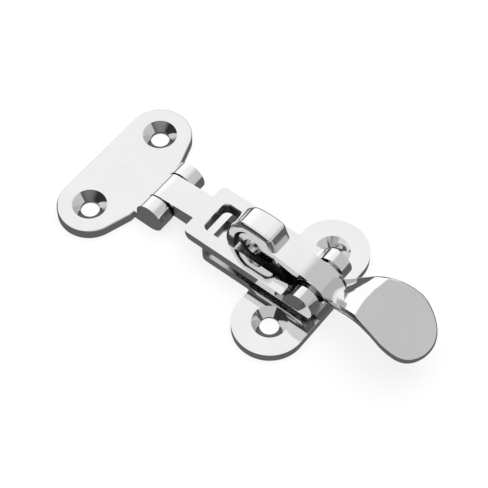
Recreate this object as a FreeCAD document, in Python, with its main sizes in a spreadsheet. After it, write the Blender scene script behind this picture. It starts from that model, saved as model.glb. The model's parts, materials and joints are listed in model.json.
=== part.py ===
# Hold-down toggle latch in polished stainless steel, closed and latched.
#
# A hinge plate carries a fork-ended strap on a pin.  The free end of the strap carries a lever
# on a second pin, and the hood of the lever hooks over an eyed horn on the base plate.
#
# Frame: +Z up from the mounting surface, +X from the hinge plate towards the paddle, origin on
# the mounting surface midway between the two screw holes of the base plate.  Millimetres.
import FreeCAD, Part
import math
import os
import Sketcher

os.makedirs("parts", exist_ok=True)
doc = FreeCAD.newDocument("toggle_latch")

# ---------------------------------------------------------------- driving dimensions
SIZES = {
    # shared by both mounting plates
    "plate_pitch": 61.0,          # hinge-plate screw line to base-plate screw line
    "screw_hole": 5.3,            # through hole, clear of an M5 screw
    "sink_width": 9.6,            # mouth of the 90 degree countersink
    "polish_radius": 0.45,        # softened edge left by polishing
    # hinge plate
    "hinge_spacing": 30.0,        # between its two screw holes
    "hinge_end": 9.0,             # radius of each rounded end
    "hinge_thick": 3.2,
    "hinge_edge": 11.0,           # screw line to the straight edge at the lugs
    "hinge_edge_half": 10.5,      # half length of that edge
    "hinge_lean": 16.0,           # degrees round the end where the edge runs into it
    "hinge_corner": 3.0,          # rounding where that edge turns towards the ends
    "lug_out": 9.2,               # half distance over the two lugs
    "lug_radius": 4.4,
    "lug_root": 1.5,              # how far the lugs are rooted in the plate
    "lug_skin": 1.2,              # metal left over the blind end of a pin
    # hinge
    "hinge_axis_gap": 16.4,       # hinge-plate screw line to hinge axis
    "hinge_axis_z": 4.5,
    "pin_width": 4.0,             # diameter of both pins
    "run_gap": 0.05,              # radial gap of a pin in the part that turns on it
    "side_gap": 0.5,              # axial gap on each side of a knuckle
    # strap
    "strap_top": 9.6,
    "strap_thick": 4.3,
    "strap_width": 17.8,
    "strap_heel": 2.6,            # rounding under the hinge end of the strap
    "neck_width": 8.6,
    "neck_length": 11.4,          # hinge axis to the shoulder of the strap
    "neck_thick": 5.4,
    "knuckle_radius": 4.3,
    "window_wall": 3.7,           # shoulder to the window
    "window_width": 10.4,
    "corner": 1.8,                # corner radii of the strap and its window
    # lever pivot
    "lever_gap": 5.3,             # base-plate screw line to lever axis, latched
    "lever_axis_drop": 0.2,       # below the rail tops
    "lobe_radius": 4.2,
    "lobe_blend": 2.2,            # hollow where a rail sweeps up into its lobe
    # lever
    "barrel_radius": 4.75,
    "barrel_gap": 1.3,            # between the barrel and each side of the window
    "arm_root": 82.0,             # degrees round the barrel where the arm leaves it
    "arm_low_back": 3.0,          # lever axis back to the root of the arm's underside
    "arm_low_rise": 2.2,          # and up to it
    "arm_back": 0.7,              # from the back of the nose to the step up to the hood
    "arm_lift": 3.1,              # top of the arm at that step, above the middle of the nose
    "arm_thick": 1.9,             # at the step, thicker towards the barrel
    "hood_roof": 2.55,            # thickness over the nose, at the step
    "hood_step_run": 2.0,         # how far the step leans back
    "hood_gap": 1.5,              # between the hood and each side of the window
    "hood_crown": 15.0,           # radius of the slightly domed top
    "hood_brow": 4.8,             # from the front of the hood to where the crown begins
    "hood_ahead": 1.3,            # gap between the hood and the front of the nose
    "hood_brow_turn": 18.2,       # degrees, half of the turn from the crown down to the front
    "hood_wall": 2.8,
    "hood_drop": 7.0,             # lowest point of the front wall, below the middle of the nose
    "hood_room": 0.45,            # gap between the hood and the top of the horn
    "hood_step_round": 1.2,
    "hood_brow_round": 2.6,
    "hood_edge": 1.3,             # rounding of its edges
    "paddle_tip": 35.0,           # lever axis to the tip
    "paddle_round": 9.4,          # radius of the tip in plan
    "paddle_side": 3.0,           # degrees, where the side meets the round tip
    "paddle_inset": 0.3,          # each side of the paddle's root inside the end of the barrel
    "paddle_flare_start": 4.3,    # lever axis to where the sides begin to flare
    "paddle_bow": 70.0,           # radius of the bowed sides
    "paddle_edge": 1.05,          # rounding of the rim
    # base plate
    "base_spacing": 27.8,
    "base_end": 10.1,
    "base_thick": 2.8,
    "tongue_end": 28.4,           # screw line to the end of the tongue
    "tongue_width": 16.4,
    "tongue_corner": 2.5,
    # horn
    "nose_gap": 12.75,            # screw line to the middle of the nose
    "nose_lift": 0.3,             # middle of the nose above the middle of the eye
    "nose_radius": 4.3,
    "nose_stretch": 2.7,          # between the two arc centres of the nose
    "horn_gap": 1.9,              # between the nose and each side of the window
    "eye_width": 5.5,             # passes a 5 mm padlock shackle
    "eye_gap": 13.7,              # screw line to the eye
    "shackle_gap": 0.25,          # eye bottom above the rails of the strap
    "stem_width": 4.8,
    "stem_back": 10.9,            # screw line to the back of the stem
    "stem_foot": 1.2,             # screw line to the front foot of the stem
    "stem_foot_z": 4.0,
    "stem_top_gap": 8.0,          # screw line to the front of the stem at its top
    "stem_top_drop": 1.1,         # below the middle of the nose
    # cutting outlines
    "spare": 5.0,                 # how far they run past the metal
}

# cross-sections along the paddle, each value a size of its own: distance from the lever axis,
# top line above that axis, depth, half width beyond that of the root, and crown of the top
# (below zero where it is dished)
PADDLE = [
    (1.0, 0.0, 3.0, 1.1, 1.2),
    (5.5, 3.3, 3.0, 1.5, 1.3),
    (10.0, 6.8, 3.1, 3.0, 1.2),
    (14.5, 9.6, 2.8, 4.6, 0.8),
    (19.0, 10.5, 2.5, 5.9, 0.3),
    (23.5, 9.65, 2.7, 6.8, -0.2),
    (27.5, 7.2, 3.0, 7.0, -0.7),
    (30.5, 4.8, 3.0, 7.0, -1.0),
    (33.0, 3.9, 2.7, 7.0, -1.0),
    (37.0, 3.4, 2.5, 7.0, -0.8),
]
for number, station in enumerate(PADDLE, start=1):
    for part, value in zip(("run", "top", "depth", "widen", "crown"), station):
        SIZES["paddle_%s_%d" % (part, number)] = value

sheet = doc.addObject("Spreadsheet::Sheet", "Sizes")
for row, (alias, number) in enumerate(SIZES.items(), start=1):
    sheet.set("A%d" % row, alias)
    sheet.set("B%d" % row, str(number))
    sheet.setAlias("B%d" % row, alias)
doc.recompute()


# ---------------------------------------------------------------- sizes that stay formulas
class Size:
    """A number together with the sheet formula that it comes from."""

    def __init__(self, value, text):
        self.value = value
        self.text = text

    @staticmethod
    def of(other):
        return other if isinstance(other, Size) else Size(float(other), repr(float(other)))

    def __add__(self, other):
        other = Size.of(other)
        return Size(self.value + other.value, "(%s + %s)" % (self.text, other.text))

    def __sub__(self, other):
        other = Size.of(other)
        return Size(self.value - other.value, "(%s - %s)" % (self.text, other.text))

    def __mul__(self, other):
        other = Size.of(other)
        return Size(self.value * other.value, "(%s * %s)" % (self.text, other.text))

    def __truediv__(self, other):
        other = Size.of(other)
        return Size(self.value / other.value, "(%s / %s)" % (self.text, other.text))

    def __neg__(self):
        return Size(-self.value, "(0 - %s)" % self.text)


def sine(angle):
    return Size(math.sin(math.radians(angle.value)), "sin(%s * 1 deg)" % angle.text)


def cosine(angle):
    return Size(math.cos(math.radians(angle.value)), "cos(%s * 1 deg)" % angle.text)


def root(size):
    return Size(math.sqrt(size.value), "sqrt(%s)" % size.text)


size = {alias: Size(sheet.get(alias), "Sizes.%s" % alias) for alias in SIZES}

# places that several pieces share
plate_x = -size["plate_pitch"]
hinge_x = plate_x + size["hinge_axis_gap"]
hinge_z = size["hinge_axis_z"]
lever_x = size["lever_gap"]
lever_z = size["strap_top"] - size["lever_axis_drop"]
strap_bottom = size["strap_top"] - size["strap_thick"]
shoulder_x = hinge_x + size["neck_length"]
window_x = shoulder_x + size["window_wall"]
pin_radius = size["pin_width"] / 2
run_radius = pin_radius + size["run_gap"]
eye_z = size["strap_top"] + size["shackle_gap"] + size["eye_width"] / 2
nose_x = -size["nose_gap"]
nose_z = eye_z + size["nose_lift"]
nose_width = size["window_width"] - size["horn_gap"] * 2
hood_width = size["window_width"] - size["hood_gap"] * 2
barrel_width = size["window_width"] - size["barrel_gap"] * 2


# ---------------------------------------------------------------- small building tools
def new_body(name):
    body = doc.addObject("PartDesign::Body", name)
    body.Label = name
    return body


def attach(body, item, role, lift=None):
    """Attach to an origin plane of the body, lifted along the plane's normal."""
    for plane in body.Origin.OriginFeatures:
        if plane.Role == role:
            item.AttachmentSupport = [(plane, "")]
    item.MapMode = "FlatFace"
    if lift is not None:
        item.setExpression("AttachmentOffset.Base.z", lift.text)


def new_sketch(body, name, role, lift=None):
    sketch = body.newObject("Sketcher::SketchObject", name)
    attach(body, sketch, role, lift)
    return sketch


def bind(sketch, kind, where, amount):
    index = sketch.addConstraint(Sketcher.Constraint(kind, *where, amount.value))
    sketch.setExpression("Constraints[%d]" % index, amount.text)


def outline(sketch, corners):
    """Closed outline through (x, y, bulge) corners.

    bulge is None for a straight run to the next corner, or a radius: positive when the arc to
    the next corner turns left (anticlockwise), negative when it turns right.
    """
    edges = []
    for index, (x, y, bulge) in enumerate(corners):
        next_x, next_y = corners[(index + 1) % len(corners)][:2]
        start = FreeCAD.Vector(x.value, y.value, 0)
        end = FreeCAD.Vector(next_x.value, next_y.value, 0)
        if bulge is None:
            edges.append(sketch.addGeometry(Part.LineSegment(start, end), False))
            continue
        chord = end - start
        turn = math.copysign(1.0, bulge.value)
        radius = abs(bulge.value)
        reach = math.sqrt(max(radius ** 2 - (chord.Length / 2) ** 2, 0.0))
        left = FreeCAD.Vector(-chord.y, chord.x, 0).normalize()
        centre = (start + end) * 0.5 + left * (reach * turn)
        middle = centre - left * (radius * turn)
        edges.append(sketch.addGeometry(Part.Arc(start, middle, end), False))
    for index, (x, y, bulge) in enumerate(corners):
        edge = edges[index]
        turned = bulge is not None and bulge.value < 0
        first, last = (2, 1) if turned else (1, 2)
        follower = corners[(index + 1) % len(corners)][2]
        joins = 2 if follower is not None and follower.value < 0 else 1
        sketch.addConstraint(Sketcher.Constraint("Coincident", edge, last,
                                                 edges[(index + 1) % len(edges)], joins))
        bind(sketch, "DistanceX", (edge, first), x)
        bind(sketch, "DistanceY", (edge, first), y)
        if bulge is not None:
            bind(sketch, "Radius", (edge,), -bulge if turned else bulge)


def circle(sketch, x, y, radius):
    edge = sketch.addGeometry(Part.Circle(FreeCAD.Vector(x.value, y.value, 0),
                                          FreeCAD.Vector(0, 0, 1), radius.value), False)
    bind(sketch, "DistanceX", (edge, 3), x)
    bind(sketch, "DistanceY", (edge, 3), y)
    bind(sketch, "Radius", (edge,), radius)


def settled(feature):
    """Stop at a feature that failed or left a bad shape."""
    if "Invalid" in feature.State or "Error" in feature.State or not feature.Shape.isValid():
        raise ValueError("%s failed: %s" % (feature.Name, feature.State))


def grow(body, kind, name, sketch, length, both_sides=False):
    """A Pad or Pocket of a sketch, which must change the volume of its body."""
    doc.recompute()
    before = body.Shape.Volume if body.Tip else 0.0
    feature = body.newObject("PartDesign::" + kind, name)
    feature.Profile = sketch
    feature.setExpression("Length", length.text)
    if both_sides:
        feature.SideType = "Symmetric"
    doc.recompute()
    settled(feature)
    change = body.Shape.Volume - before
    if near(change, 0) or (kind == "Pad") != (change > 0):
        raise ValueError("%s changed the volume by %.3f" % (name, change))
    return feature


def countersink(body, name, x, y, top):
    """Through hole with a 90 degree countersink in a plate whose top is at the given height."""
    hole_radius = size["screw_hole"] / 2
    sink_radius = size["sink_width"] / 2
    drill = body.newObject("PartDesign::SubtractiveCylinder", name + "_drill")
    attach(body, drill, "XY_Plane")
    drill.setExpression("Radius", hole_radius.text)
    drill.setExpression("Height", top.text)
    sink = body.newObject("PartDesign::SubtractiveCone", name + "_sink")
    attach(body, sink, "XY_Plane", top - sink_radius + hole_radius)
    sink.setExpression("Radius1", hole_radius.text)
    sink.setExpression("Radius2", sink_radius.text)
    sink.setExpression("Height", (sink_radius - hole_radius).text)
    for cut in (drill, sink):
        cut.setExpression("AttachmentOffset.Base.x", x.text)
        cut.setExpression("AttachmentOffset.Base.y", y.text)
    doc.recompute()


def soften(body, name, radius, wanted):
    """Fillet the edges of the body's last feature that the test picks."""
    doc.recompute()
    base = body.Tip
    names = ["Edge%d" % (index + 1) for index, edge in enumerate(base.Shape.Edges)
             if wanted(edge)]
    fillet = body.newObject("PartDesign::Fillet", name)
    fillet.Base = (base, names)
    fillet.setExpression("Radius", radius.text)
    doc.recompute()
    settled(fillet)
    return fillet


def near(first, second, slack=0.01):
    return abs(first - second) < slack


def level(edge, height):
    """True for an edge that lies wholly at one height."""
    return near(edge.BoundBox.ZMin, height.value) and near(edge.BoundBox.ZMax, height.value)


def upright(edge):
    box = edge.BoundBox
    return near(box.XLength, 0) and near(box.YLength, 0) and box.ZLength > 0.5


def is_sink(edge):
    return isinstance(edge.Curve, Part.Circle) and near(edge.Curve.Radius,
                                                        size["sink_width"].value / 2)


# ---------------------------------------------------------------- hinge plate
def make_hinge_plate():
    body = new_body("hinge_plate")
    half = size["hinge_spacing"] / 2
    end = size["hinge_end"]
    edge_x = plate_x + size["hinge_edge"]
    edge_half = size["hinge_edge_half"]
    shape = new_sketch(body, "hinge_outline", "XY_Plane")
    # the straight edge at the lugs stands proud of the round ends and runs into them
    lean_x = plate_x + end * cosine(size["hinge_lean"])
    lean_y = half + end * sine(size["hinge_lean"])
    outline(shape, [
        (plate_x - end, half, None),
        (plate_x - end, -half, end),
        (lean_x, -lean_y, None),
        (edge_x, -edge_half, None),
        (edge_x, edge_half, None),
        (lean_x, lean_y, end),
    ])
    grow(body, "Pad", "hinge_slab", shape, size["hinge_thick"])
    side = new_sketch(body, "lug_side", "XZ_Plane")
    lug = size["lug_radius"]
    lug_low = hinge_z - lug
    root_x = edge_x - size["lug_root"]
    outline(side, [
        (root_x, lug_low, None),
        (hinge_x, lug_low, lug),
        (hinge_x + lug, hinge_z, lug),
        (hinge_x, hinge_z + lug, lug),
        (hinge_x - lug, hinge_z, None),
        (hinge_x - lug, size["hinge_thick"], None),
        (root_x, size["hinge_thick"], None),
    ])
    grow(body, "Pad", "lugs", side, size["lug_out"] * 2, both_sides=True)
    slot_half = size["neck_width"] / 2 + size["side_gap"]
    slot = new_sketch(body, "lug_slot", "XY_Plane")
    slot_x = hinge_x - size["knuckle_radius"] - size["side_gap"]
    outline(slot, [
        (slot_x, -slot_half, None),
        (hinge_x + lug + size["spare"], -slot_half, None),
        (hinge_x + lug + size["spare"], slot_half, None),
        (slot_x, slot_half, None),
    ])
    grow(body, "Pocket", "knuckle_slot", slot, size["strap_top"] * 4, both_sides=True)
    # the bore runs through the far lug and stops under a skin in the near one
    bore = new_sketch(body, "hinge_bore", "XZ_Plane", size["lug_out"] - size["lug_skin"])
    circle(bore, hinge_x, hinge_z, pin_radius)
    grow(body, "Pocket", "hinge_bore_cut", bore, size["lug_out"] * 2)
    countersink(body, "hinge_screw_near", plate_x, -half, size["hinge_thick"])
    countersink(body, "hinge_screw_far", plate_x, half, size["hinge_thick"])
    soften(body, "hinge_corner", size["hinge_corner"],
           lambda edge: upright(edge) and near(edge.BoundBox.XMax, edge_x.value)
           and near(abs(edge.BoundBox.YMax), edge_half.value))
    soften(body, "hinge_polish", size["polish_radius"],
           lambda edge: level(edge, size["hinge_thick"]) and not is_sink(edge)
           and edge.BoundBox.XMin < root_x.value - size["polish_radius"].value)
    return body


# ---------------------------------------------------------------- strap
def make_strap():
    body = new_body("strap")
    half = size["strap_width"] / 2
    top = size["strap_top"]
    lobe = size["lobe_radius"]
    blend = size["lobe_blend"]
    heel = size["strap_heel"]
    # the hollow is tangent to the rail top and to the lobe
    rise = top + blend - lever_z
    reach = root((lobe + blend) * (lobe + blend) - rise * rise)
    share = lobe / (lobe + blend)
    hollow_x = lever_x - reach
    meet_x = lever_x - reach * share
    meet_z = lever_z + rise * share
    tail_x = lever_x + lobe / 2
    lobe_low = lever_z - root(lobe * lobe - lobe * lobe / 4)
    side = new_sketch(body, "rail_side", "XZ_Plane")
    outline(side, [
        (shoulder_x, top, None),
        (shoulder_x, strap_bottom + heel, heel),
        (shoulder_x + heel, strap_bottom, None),
        (lever_x, strap_bottom, None),
        (tail_x, lobe_low, lobe),
        (lever_x + lobe, lever_z, lobe),
        (lever_x, lever_z + lobe, lobe),
        (meet_x, meet_z, -blend),
        (hollow_x, top, None),
    ])
    grow(body, "Pad", "rails", side, size["strap_width"], both_sides=True)
    window = new_sketch(body, "window_outline", "XY_Plane")
    opening = size["window_width"] / 2
    past_x = lever_x + lobe + size["spare"]
    outline(window, [
        (window_x, -opening, None),
        (past_x, -opening, None),
        (past_x, opening, None),
        (window_x, opening, None),
    ])
    grow(body, "Pocket", "window", window, top * 4, both_sides=True)
    soften(body, "strap_corners", size["corner"],
           lambda edge: near(edge.BoundBox.XMax, shoulder_x.value) and upright(edge)
           and near(abs(edge.BoundBox.YMax), half.value)
           or near(edge.BoundBox.XMax, window_x.value) and upright(edge))
    neck = new_sketch(body, "neck_side", "XZ_Plane")
    knuckle = size["knuckle_radius"]
    neck_low = top - size["neck_thick"]
    low_run = root(knuckle * knuckle - (hinge_z - neck_low) * (hinge_z - neck_low))
    outline(neck, [
        (hinge_x, hinge_z + knuckle, knuckle),
        (hinge_x - knuckle, hinge_z, knuckle),
        (hinge_x, hinge_z - knuckle, knuckle),
        (hinge_x + low_run, neck_low, None),
        (shoulder_x, neck_low, None),
        (shoulder_x + heel, strap_bottom, None),
        (shoulder_x + heel, top, None),
        (shoulder_x, top, None),
    ])
    grow(body, "Pad", "neck", neck, size["neck_width"], both_sides=True)
    knuckle_bore = new_sketch(body, "knuckle_bore", "XZ_Plane")
    circle(knuckle_bore, hinge_x, hinge_z, run_radius)
    grow(body, "Pocket", "knuckle_bore_cut", knuckle_bore, size["strap_width"] * 2,
         both_sides=True)
    # the seat runs through the far lobe and stops under a skin in the near one
    seat = new_sketch(body, "lever_pin_seat", "XZ_Plane", half - size["lug_skin"])
    circle(seat, lever_x, lever_z, pin_radius)
    grow(body, "Pocket", "lever_pin_seat_cut", seat, size["strap_width"])
    return body


# ---------------------------------------------------------------- lever
def make_lever():
    body = new_body("lever")
    neck_half = barrel_width / 2 - size["paddle_inset"]
    sections = [paddle_section(body, number, neck_half)
                for number in range(1, len(PADDLE) + 1)]
    doc.recompute()
    blade = body.newObject("PartDesign::AdditiveLoft", "paddle_blade")
    blade.Profile = sections[0]
    blade.Sections = sections[1:]
    blade.Ruled = False
    doc.recompute()
    settled(blade)
    # plan of the paddle: bowed sides that meet a round tip
    tip_round = size["paddle_round"]
    middle_x = lever_x + size["paddle_tip"] - tip_round
    side_x = middle_x - tip_round * sine(size["paddle_side"])
    side_y = tip_round * cosine(size["paddle_side"])
    neck_x = lever_x + size["paddle_flare_start"]
    bow = size["paddle_bow"]
    outer_x = lever_x + size["paddle_tip"] + size["spare"]
    outer_y = tip_round + size["spare"]
    trim = new_sketch(body, "paddle_plan", "XY_Plane")
    outline(trim, [
        (lever_x, neck_half, None),
        (neck_x, neck_half, -bow),
        (side_x, side_y, -tip_round),
        (middle_x + tip_round, side_y * 0, -tip_round),
        (side_x, -side_y, -bow),
        (neck_x, -neck_half, None),
        (lever_x, -neck_half, None),
        (lever_x, -outer_y, None),
        (outer_x, -outer_y, None),
        (outer_x, outer_y, None),
        (lever_x, outer_y, None),
    ])
    grow(body, "Pocket", "paddle_trim", trim, size["paddle_tip"] * 4, both_sides=True)

    soften(body, "paddle_rim", size["paddle_edge"],
           lambda edge: edge.BoundBox.XMax > neck_x.value + 0.1 and not upright(edge))
    barrel = new_sketch(body, "barrel_side", "XZ_Plane")
    circle(barrel, lever_x, lever_z, size["barrel_radius"])
    grow(body, "Pad", "barrel", barrel, barrel_width, both_sides=True)
    make_hook(body)
    bore = new_sketch(body, "lever_bore", "XZ_Plane")
    circle(bore, lever_x, lever_z, run_radius)
    grow(body, "Pocket", "lever_bore_cut", bore, size["strap_width"] * 2, both_sides=True)
    return body


def paddle_section(body, number, neck_half):
    """Section of the blade: a crowned top and a bottom that follows it."""
    half = neck_half + size["paddle_widen_%d" % number]
    crown = size["paddle_crown_%d" % number]
    top = lever_z + size["paddle_top_%d" % number]
    depth = size["paddle_depth_%d" % number]
    side = top - crown
    bend = (half * half + crown * crown) / (crown * 2)
    section = new_sketch(body, "paddle_section_%d" % number, "YZ_Plane",
                         lever_x + size["paddle_run_%d" % number])
    outline(section, [
        (-half, side - depth, -bend),
        (half, side - depth, None),
        (half, side, bend),
        (-half, side, None),
    ])
    return section


def make_hook(body):
    """The arm from the barrel and the hood that drops over the nose of the horn."""
    barrel = size["barrel_radius"]
    nose_half = size["nose_stretch"] / 2 + size["nose_radius"]
    wall = size["hood_wall"]
    tip = wall / 2
    arm_x = nose_x + nose_half + size["arm_back"]
    arm_z = nose_z + size["arm_lift"]
    roof_z = nose_z + size["nose_radius"] + size["hood_room"]
    crown_x = arm_x - size["hood_step_run"]
    crown_z = roof_z + size["hood_roof"]
    front_x = nose_x - nose_half - size["hood_ahead"] - wall
    brow_x = front_x + size["hood_brow"]
    tip_z = nose_z - size["hood_drop"] + tip
    cave_x = arm_x - size["arm_back"] - size["nose_radius"] / 2
    brow_rise = crown_z - nose_z
    brow_chord = root(size["hood_brow"] * size["hood_brow"] + brow_rise * brow_rise)
    brow_radius = brow_chord / (sine(size["hood_brow_turn"]) * 2)
    side = new_sketch(body, "hook_side", "XZ_Plane")
    outline(side, [
        (lever_x + barrel * cosine(size["arm_root"]),
         lever_z + barrel * sine(size["arm_root"]), None),
        (arm_x, arm_z, None),
        (crown_x, crown_z, size["hood_crown"]),
        (brow_x, crown_z, brow_radius),
        (front_x, nose_z, None),
        (front_x, tip_z, tip),
        (front_x + tip, tip_z - tip, tip),
        (front_x + wall, tip_z, None),
        (front_x + wall, nose_z, -brow_radius / 2),
        (brow_x + wall / 2, roof_z, None),
        (cave_x, roof_z, None),
        (arm_x, arm_z - size["arm_thick"], None),
        (lever_x - size["arm_low_back"], lever_z + size["arm_low_rise"], None),
        (lever_x, lever_z + size["arm_low_rise"], None),
    ])
    grow(body, "Pad", "hook", side, hood_width, both_sides=True)

    def across(edge, x, z):
        middle = edge.CenterOfMass
        return near(middle.x, x.value) and near(middle.z, z.value) and near(middle.y, 0)

    soften(body, "hood_step", size["hood_step_round"],
           lambda edge: across(edge, crown_x, crown_z))
    soften(body, "hood_brow", size["hood_brow_round"],
           lambda edge: across(edge, brow_x, crown_z))
    soften(body, "hood_edges", size["hood_edge"],
           lambda edge: edge.BoundBox.ZMax > roof_z.value + 0.1
           and edge.BoundBox.XMax < arm_x.value + 0.1 and edge.BoundBox.YLength < 0.01
           and near(abs(edge.BoundBox.YMax), hood_width.value / 2))


# ---------------------------------------------------------------- base plate
def make_base_plate():
    body = new_body("base_plate")
    half = size["base_spacing"] / 2
    end = size["base_end"]
    top = size["base_thick"]
    zero = half * 0
    slab = new_sketch(body, "base_outline", "XY_Plane")
    outline(slab, [
        (-end, half, None),
        (-end, -half, end),
        (zero, -half - end, end),
        (end, -half, None),
        (end, half, end),
        (zero, half + end, end),
    ])
    grow(body, "Pad", "base_slab", slab, top)
    tongue_half = size["tongue_width"] / 2
    tongue_x = -size["tongue_end"]
    tongue = new_sketch(body, "tongue_outline", "XY_Plane")
    outline(tongue, [
        (tongue_x, -tongue_half, None),
        (zero, -tongue_half, None),
        (zero, tongue_half, None),
        (tongue_x, tongue_half, None),
    ])
    grow(body, "Pad", "tongue", tongue, top)
    soften(body, "tongue_corners", size["tongue_corner"],
           lambda edge: upright(edge) and near(edge.BoundBox.XMax, tongue_x.value))
    soften(body, "ear_corners", size["corner"],
           lambda edge: upright(edge) and near(abs(edge.BoundBox.YMax), tongue_half.value)
           and edge.BoundBox.XMax > (tongue_x + size["tongue_corner"]).value + 0.1)
    stem = new_sketch(body, "stem_side", "XZ_Plane")
    stem_top_z = nose_z - size["stem_top_drop"]
    outline(stem, [
        (-size["stem_back"], top / 2, None),
        (-size["stem_foot"], top / 2, None),
        (-size["stem_foot"], size["stem_foot_z"], None),
        (-size["stem_top_gap"], stem_top_z, None),
        (-size["stem_back"], stem_top_z, None),
    ])
    grow(body, "Pad", "stem", stem, size["stem_width"], both_sides=True)
    nose = new_sketch(body, "nose_side", "XZ_Plane")
    back_x = nose_x - size["nose_stretch"] / 2
    fore_x = nose_x + size["nose_stretch"] / 2
    curve = size["nose_radius"]
    outline(nose, [
        (back_x, nose_z + curve, curve),
        (back_x - curve, nose_z, curve),
        (back_x, nose_z - curve, None),
        (fore_x, nose_z - curve, curve),
        (fore_x + curve, nose_z, curve),
        (fore_x, nose_z + curve, None),
    ])
    grow(body, "Pad", "nose", nose, nose_width, both_sides=True)
    eye = new_sketch(body, "eye_side", "XZ_Plane")
    circle(eye, -size["eye_gap"], eye_z, size["eye_width"] / 2)
    grow(body, "Pocket", "eye", eye, size["strap_width"] * 2, both_sides=True)
    countersink(body, "base_screw_near", zero, -half, top)
    countersink(body, "base_screw_far", zero, half, top)
    return body


# ---------------------------------------------------------------- pins
def make_pin(name, x, z, half_span):
    """A pin that stops under the skin of the near side and ends flush at the far side."""
    body = new_body(name)
    end = new_sketch(body, name + "_end", "XZ_Plane", half_span - size["lug_skin"])
    circle(end, x, z, pin_radius)
    shaft = grow(body, "Pad", name + "_shaft", end, half_span * 2 - size["lug_skin"])
    shaft.Reversed = True
    doc.recompute()
    return body


pieces = [
    make_hinge_plate(),
    make_pin("hinge_pin", hinge_x, hinge_z, size["lug_out"]),
    make_strap(),
    make_pin("lever_pin", lever_x, lever_z, size["strap_width"] / 2),
    make_lever(),
    make_base_plate(),
]
doc.recompute()

for item in doc.Objects:
    if "Invalid" in item.State or "Error" in item.State:
        raise ValueError("%s is in state %s" % (item.Name, item.State))
for piece in pieces:
    if piece.Shape.isNull() or not piece.Shape.isValid():
        raise ValueError("%s has no valid shape" % piece.Label)
    print("%-12s %9.2f mm3, %d solid" % (piece.Label, piece.Shape.Volume, len(piece.Shape.Solids)))
for piece in pieces:
    piece.Shape.exportStep("parts/%s.step" % piece.Label)
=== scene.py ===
import json
import math

import bpy
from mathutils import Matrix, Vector


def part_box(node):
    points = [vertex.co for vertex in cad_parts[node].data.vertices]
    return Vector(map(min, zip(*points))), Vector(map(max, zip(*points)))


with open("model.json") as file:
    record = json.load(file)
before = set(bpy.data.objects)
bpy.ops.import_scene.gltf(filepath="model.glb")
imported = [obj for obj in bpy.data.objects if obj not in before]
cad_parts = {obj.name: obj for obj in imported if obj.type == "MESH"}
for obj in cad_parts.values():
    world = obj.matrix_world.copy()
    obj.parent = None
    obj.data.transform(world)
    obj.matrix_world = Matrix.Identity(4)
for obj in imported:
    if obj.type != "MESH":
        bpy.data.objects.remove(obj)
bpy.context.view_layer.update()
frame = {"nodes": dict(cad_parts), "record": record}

# ---------------------------------------------------------------- sizes, in metres
CAMERA_PLACE = (0.12725, -0.18706, 0.37232)
CAMERA_AIM = (-0.01979, 0.00062, 0.00346)
CAMERA_LENS = 120.93                # mm, on a sensor 36 mm wide

SMOOTH_TURN = math.radians(32)      # facets that meet at less than this shade as one surface
CRISP = 0.0002                      # where a recess ends at a wall
WALL_GAP = 0.00041                  # from the declared opening to the wall of the window

FLOOR_HALF = 6.0
FLOOR_DROP = 0.00005                # the floor lies this far under the plates
FLOOR_GLOW = 0.97
FLOOR_MATT = 0.18                   # share of the floor that takes light and shadow
UNDER_CARD_GREY = 0.14
SIDE_CARD_GREY = 0.66
SIDE_CARD_HEIGHT = 0.034
SIDE_CARD_FADE = 0.003

LAMP_PLACE = (0.0, 0.1, 1.1)
LAMP_SIDE = 1.4
LAMP_POWER = 14.0


# ---------------------------------------------------------------- node helpers
def new_material(name):
    material = bpy.data.materials.new(name)
    material.use_nodes = True
    material.node_tree.nodes.clear()
    return material, material.node_tree


def add(tree, kind, **settings):
    node = tree.nodes.new(kind)
    for key, value in settings.items():
        if key in node.inputs.keys():
            node.inputs[key].default_value = value
        else:
            setattr(node, key, value)
    return node


def join(tree, source, output, target, socket):
    tree.links.new(source.outputs[output], target.inputs[socket])


def ramp(tree, source, output, low, high, start, end, easing="SMOOTHSTEP"):
    """Change from start to end while the input goes from low to high."""
    rung = add(tree, "ShaderNodeMapRange", interpolation_type=easing)
    rung.inputs["From Min"].default_value = low
    rung.inputs["From Max"].default_value = high
    rung.inputs["To Min"].default_value = start
    rung.inputs["To Max"].default_value = end
    join(tree, source, output, rung, "Value")
    return rung


def times(tree, first, second):
    product = add(tree, "ShaderNodeMath", operation="MULTIPLY")
    join(tree, first, 0, product, 0)
    join(tree, second, 0, product, 1)
    return product


def object_noise(tree, place, scale, detail, roughness):
    noise = add(tree, "ShaderNodeTexNoise", Scale=scale, Detail=detail, Roughness=roughness)
    join(tree, place, "Object", noise, "Vector")
    return noise


def two_tones(tree, source, low, high):
    tones = add(tree, "ShaderNodeValToRGB")
    for stop, (position, colour) in zip(tones.color_ramp.elements, (low, high)):
        stop.position = position
        stop.color = (*colour, 1)
    join(tree, source, "Fac", tones, "Fac")
    return tones


def bump(tree, height, strength, distance):
    relief = add(tree, "ShaderNodeBump", Strength=strength, Distance=distance)
    join(tree, height, "Fac", relief, "Height")
    return relief


def metal(name):
    material, tree = new_material(name)
    place = add(tree, "ShaderNodeTexCoord")
    shader = add(tree, "ShaderNodeBsdfPrincipled", Metallic=1.0)
    out = add(tree, "ShaderNodeOutputMaterial")
    join(tree, shader, "BSDF", out, "Surface")
    return material, tree, place, shader


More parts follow.
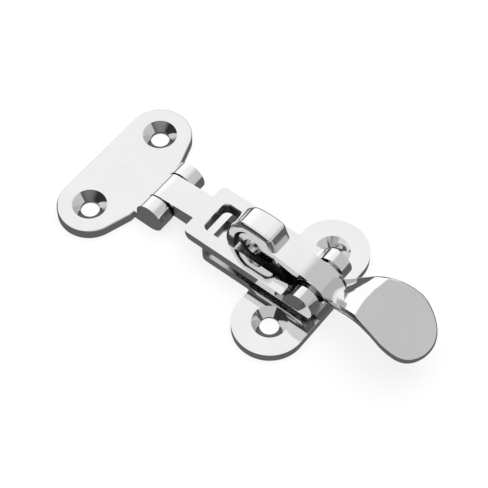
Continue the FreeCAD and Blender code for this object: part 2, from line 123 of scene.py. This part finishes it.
# ---------------------------------------------------------------- steel
def recess_mask(tree, place, recess):
    """One inside the recess, zero on the rest of the part; it places the painted shade and the
    duller polish.

    front, back and soft are along the part, half and fade across it, top is its height.
    """
    front, back, soft, half, fade, top = recess
    axes = add(tree, "ShaderNodeSeparateXYZ")
    join(tree, place, "Object", axes, "Vector")
    side = add(tree, "ShaderNodeMath", operation="ABSOLUTE")
    join(tree, axes, "Y", side, 0)
    along = times(tree, ramp(tree, axes, "X", front, front + soft, 0.0, 1.0),
                  ramp(tree, axes, "X", back - soft, back, 1.0, 0.0))
    across = times(tree, ramp(tree, side, 0, half, half + fade, 1.0, 0.0),
                   ramp(tree, axes, "Z", top - 0.001, top, 1.0, 0.0))
    return times(tree, along, across)


def polished_steel(name, tint, rough, waves_from, recess):
    """Mirror-polished cast steel: faint clouds and smears, soft waviness, fine polishing lines,
    and painted shade in its recesses.
    """
    material, tree, place, shader = metal(name)

    # colour: faint clouds left by casting and buffing
    clouds = object_noise(tree, place, 90.0, 4.0, 0.55)
    low = (tint[0] * 0.9504, tint[1] * 0.9552, tint[2] * 0.96)
    colours = two_tones(tree, clouds, (0.3, low), (0.7, tint))
    # painted shade: recesses are painted near black, and are left duller where the buffing wheel
    # cannot reach
    recess_shade_and_dullness = recess_mask(tree, place, recess)
    painted_shade_mix = add(tree, "ShaderNodeMix", data_type="RGBA")
    join(tree, recess_shade_and_dullness, 0, painted_shade_mix, 0)
    join(tree, colours, "Color", painted_shade_mix, 6)
    # painted shade: the near-black colour laid into the recesses
    painted_shade_mix.inputs[7].default_value = (0.035, 0.035, 0.038, 1)
    join(tree, painted_shade_mix, 2, shader, "Base Color")

    # roughness: polish with slightly duller smears
    smears = object_noise(tree, place, 240.0, 5.0, 0.6)
    dull = ramp(tree, smears, "Fac", 0.35, 0.75, rough, rough + 0.06, "LINEAR")
    duller = add(tree, "ShaderNodeMath", operation="MULTIPLY_ADD")
    join(tree, recess_shade_and_dullness, 0, duller, 0)
    duller.inputs[1].default_value = 0.3
    join(tree, dull, "Result", duller, 2)
    join(tree, duller, 0, shader, "Roughness")

    # bump: long-wave unevenness of hand polishing and fine lines along the part
    shift = add(tree, "ShaderNodeMapping")
    shift.inputs["Location"].default_value = (waves_from, 0.3, 0.1)
    join(tree, place, "Object", shift, "Vector")
    waves = add(tree, "ShaderNodeTexNoise", Scale=110.0, Detail=2.0, Roughness=0.4)
    join(tree, shift, "Vector", waves, "Vector")
    wave_bump = bump(tree, waves, 0.05, 0.0006)
    stretch = add(tree, "ShaderNodeMapping")
    stretch.inputs["Scale"].default_value = (0.12, 1.0, 1.0)
    join(tree, place, "Object", stretch, "Vector")
    lines = add(tree, "ShaderNodeTexNoise", Scale=900.0, Detail=3.0, Roughness=0.6)
    join(tree, stretch, "Vector", lines, "Vector")
    line_bump = bump(tree, lines, 0.02, 0.0002)
    join(tree, wave_bump, "Normal", line_bump, "Normal")
    join(tree, line_bump, "Normal", shader, "Normal")
    return material


def turned_steel(name):
    """Pins: turned and ground flush, with a fine even grain."""
    material, tree, place, shader = metal(name)
    grain = object_noise(tree, place, 2200.0, 3.0, 0.6)
    tones = two_tones(tree, grain, (0.0, (0.42, 0.42, 0.43)), (1.0, (0.62, 0.62, 0.62)))
    join(tree, tones, "Color", shader, "Base Color")
    rough = ramp(tree, grain, "Fac", 0.0, 1.0, 0.22, 0.42, "LINEAR")
    join(tree, rough, "Result", shader, "Roughness")
    join(tree, bump(tree, grain, 0.12, 0.0001), "Normal", shader, "Normal")
    return material


# ---------------------------------------------------------------- finishes
def middle(node):
    low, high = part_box(node)
    return (Vector(low) + Vector(high)) / 2


def record_row(rows, name):
    return next(row for row in rows if row["name"] == name)


hinge = middle("hinge_pin")
pivot = middle("lever_pin")
eye = Vector(record_row(frame["record"]["mounts"], "padlock_eye")["pos_m"])
window_low, window_high = record_row(frame["record"]["physics"]["openings"],
                                     "strap_window")["box_m"]
window_half = window_high[1] + WALL_GAP

# each recess that gets painted shade: front, back, softness along; half width, fade across; top
SLOT_OF_HINGE = (hinge.x - 0.0054, hinge.x + 0.0046, 0.0008,
                 window_half, CRISP, hinge.z + 0.0027)
WALLS_OF_WINDOW = (window_low[0] - 0.0008, pivot.x + 0.0147, 0.0006,
                   window_half, CRISP, pivot.z)
UNDER_THE_HOOD = (eye.x - 0.0043, pivot.x - 0.0033, 0.0010,
                  0.0060, CRISP, pivot.z + 0.0011)
FOOT_OF_HORN = (eye.x - 0.0103, pivot.x + 0.0047, 0.0080,
                0.0030, 0.0050, pivot.z + 0.0006)

FINISH = {
    "hinge_plate": polished_steel("steel_hinge_plate", (0.80, 0.80, 0.80), 0.05, 0.0,
                                  SLOT_OF_HINGE),
    "strap": polished_steel("steel_strap", (0.79, 0.79, 0.795), 0.05, 1.7,
                            WALLS_OF_WINDOW),
    "lever": polished_steel("steel_lever", (0.81, 0.81, 0.81), 0.04, 3.1,
                            UNDER_THE_HOOD),
    "base_plate": polished_steel("steel_base_plate", (0.80, 0.80, 0.80), 0.05, 4.9,
                                 FOOT_OF_HORN),
    "hinge_pin": turned_steel("steel_hinge_pin"),
    "lever_pin": turned_steel("steel_lever_pin"),
}
for node, finish in FINISH.items():
    piece = frame["nodes"][node]
    piece.data.materials.clear()
    piece.data.materials.append(finish)
    piece.data.shade_smooth()
    sharpen = piece.modifiers.new("edge_split", "EDGE_SPLIT")
    sharpen.split_angle = SMOOTH_TURN


# ---------------------------------------------------------------- studio
def place_in_scene(name, data):
    thing = bpy.data.objects.new(name, data)
    bpy.context.scene.collection.objects.link(thing)
    return thing


def sheet(name, low, high, height, material):
    """Level sheet of the studio from corner to corner."""
    mesh = bpy.data.meshes.new(name)
    mesh.from_pydata([(low[0], low[1], height), (high[0], low[1], height),
                      (high[0], high[1], height), (low[0], high[1], height)],
                     [], [(0, 1, 2, 3)])
    mesh.materials.append(material)
    thing = place_in_scene(name, mesh)
    return thing


def seen_by_steel_only(thing):
    thing.visible_camera = False
    thing.visible_diffuse = False
    thing.visible_shadow = False
    thing.visible_transmission = False


def glow(tree, grey, strength=1.0):
    return add(tree, "ShaderNodeEmission", Color=(grey, grey, grey, 1), Strength=strength)


def mixed(tree, first, first_output, second, second_output):
    """Mix of two shaders on the material's surface; its factor is left to the caller."""
    mix = add(tree, "ShaderNodeMixShader")
    out = add(tree, "ShaderNodeOutputMaterial")
    join(tree, first, first_output, mix, 1)
    join(tree, second, second_output, mix, 2)
    join(tree, mix, "Shader", out, "Surface")
    return mix


def pale_floor(name):
    """Pale and nearly shadowless: mostly its own light, with a soft touch of what falls on it."""
    material, tree = new_material(name)
    matt = add(tree, "ShaderNodeBsdfDiffuse", Color=(0.9, 0.9, 0.9, 1))
    mix = mixed(tree, glow(tree, 1.0, FLOOR_GLOW), "Emission", matt, "BSDF")
    mix.inputs[0].default_value = FLOOR_MATT
    return material


def plain_card(name, grey):
    material, tree = new_material(name)
    out = add(tree, "ShaderNodeOutputMaterial")
    join(tree, glow(tree, grey), "Emission", out, "Surface")
    return material


def fading_card(name, grey, left, fade):
    """Grey card whose left edge fades out."""
    material, tree = new_material(name)
    place = add(tree, "ShaderNodeTexCoord")
    axes = add(tree, "ShaderNodeSeparateXYZ")
    join(tree, place, "Object", axes, "Vector")
    clear = add(tree, "ShaderNodeBsdfTransparent")
    mix = mixed(tree, clear, "BSDF", glow(tree, grey), "Emission")
    join(tree, ramp(tree, axes, "X", left, left + fade, 0.0, 1.0), "Result", mix, 0)
    return material


def room():
    """The room round the latch: a bright tent behind and above it, and a dark near side."""
    world = bpy.data.worlds.new("studio")
    world.use_nodes = True
    tree = world.node_tree
    tree.nodes.clear()
    place = add(tree, "ShaderNodeTexCoord")
    axes = add(tree, "ShaderNodeSeparateXYZ")
    join(tree, place, "Generated", axes, "Vector")
    # the near half is dark near the horizon and bright overhead
    behind = ramp(tree, axes, "Y", -0.10, 0.12, 0.0, 1.0)
    overhead = ramp(tree, axes, "Z", 0.45, 0.80, 0.03, 0.9)
    either = add(tree, "ShaderNodeMath", operation="MAXIMUM")
    join(tree, behind, 0, either, 0)
    join(tree, overhead, 0, either, 1)
    right_low = ramp(tree, axes, "X", -0.15, 0.50, 1.10, 0.68)
    left_high = ramp(tree, axes, "X", -0.70, -0.45, 1.14, 1.0)
    above = ramp(tree, axes, "Z", -0.06, 0.02, 0.12, 1.0)
    level = times(tree, times(tree, times(tree, either, right_low), left_high), above)
    light = add(tree, "ShaderNodeBackground", Color=(1, 1, 1, 1))
    join(tree, level, 0, light, "Strength")
    out = add(tree, "ShaderNodeOutputWorld")
    join(tree, light, "Background", out, "Surface")
    return world


def softbox(name, where):
    lamp = bpy.data.lights.new(name, "AREA")
    lamp.shape = "RECTANGLE"
    lamp.size = lamp.size_y = LAMP_SIDE
    lamp.energy = LAMP_POWER
    thing = place_in_scene(name, lamp)
    thing.location = where
    thing.rotation_mode = "QUATERNION"
    thing.rotation_quaternion = (-Vector(where)).to_track_quat("-Z", "Y")
    thing.visible_glossy = False


floor_low, floor_high = (-FLOOR_HALF, -FLOOR_HALF), (FLOOR_HALF, FLOOR_HALF)
floor = sheet("floor", floor_low, floor_high, -FLOOR_DROP, pale_floor("floor_pale"))
floor.visible_glossy = False
# what the polished sides mirror: a grey card under and round the latch
seen_by_steel_only(sheet("floor_card", floor_low, floor_high, -FLOOR_DROP * 2,
                         plain_card("card_grey", UNDER_CARD_GREY)))
# and one held over the paddle, which greys the side of it that falls away
seen_by_steel_only(sheet("card_over_paddle", (0.0, -0.20), (0.40, 0.40), SIDE_CARD_HEIGHT,
                         fading_card("card_over_paddle", SIDE_CARD_GREY, 0.0, SIDE_CARD_FADE)))
softbox("overhead", LAMP_PLACE)
bpy.context.scene.world = room()

# ---------------------------------------------------------------- camera
optics = bpy.data.cameras.new("camera")
optics.lens = CAMERA_LENS
optics.sensor_width = 36.0
optics.clip_start = 0.01
optics.clip_end = 20.0
camera = place_in_scene("camera", optics)
camera.location = CAMERA_PLACE
camera.rotation_mode = "QUATERNION"
camera.rotation_quaternion = (Vector(CAMERA_AIM) - camera.location).to_track_quat("-Z", "Y")
bpy.context.scene.camera = camera
bpy.context.scene.view_settings.view_transform = "Standard"
